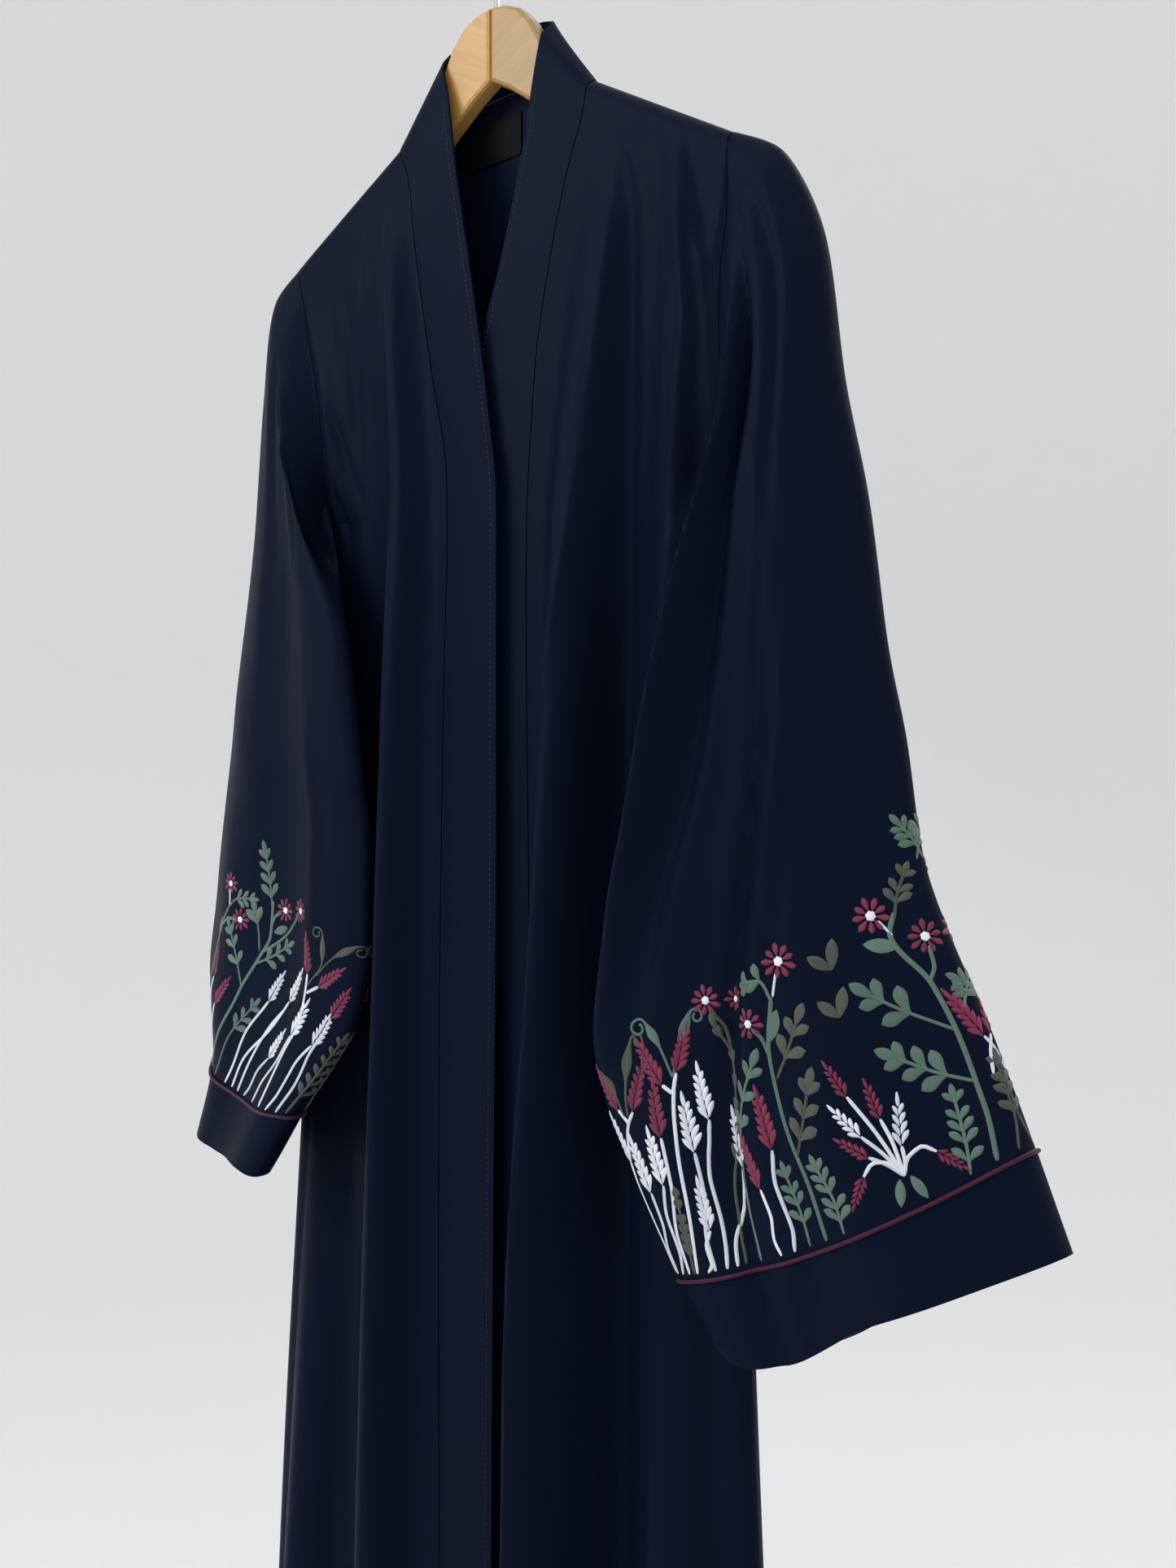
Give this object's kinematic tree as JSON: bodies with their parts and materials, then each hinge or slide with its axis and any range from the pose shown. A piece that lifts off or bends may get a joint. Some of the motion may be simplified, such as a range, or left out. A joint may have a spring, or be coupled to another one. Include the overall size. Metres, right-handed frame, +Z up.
{
  "type": "abaya cloak on a hanger",
  "caption": "Open-front full-length abaya cloak with wide piped bell sleeves and a continuous neck and front band, hanging on a plain wooden coat hanger with a wire hook.",
  "frame": {"origin": "the highest point of the hook's inner side, where the hook rests on a rail or a peg", "axes": "+Z up along the hook's shank, the garment's front faces -Y, +X to the right when the front is seen"},
  "size_m": [0.6437, 0.1251, 1.5034],
  "materials": {
    "cloth": "dark navy crepe with a soft satin sheen",
    "piping": "maroon corded piping",
    "label": "black woven label, bare",
    "wood": "pale wood, satin lacquer",
    "steel": "bright steel wire"
  },
  "bodies": {
    "root": {"back_panel": "cloth", "front_left": "cloth", "front_right": "cloth", "band_left": "cloth", "band_right": "cloth", "sleeve_left": "cloth", "sleeve_right": "cloth", "cuff_left": "cloth", "cuff_right": "cloth", "piping_left": "piping", "piping_right": "piping", "neck_label": "label", "hanger_arm_left": "wood", "hanger_arm_right": "wood", "hanger_hook": "steel"}
  },
  "joints": []
}
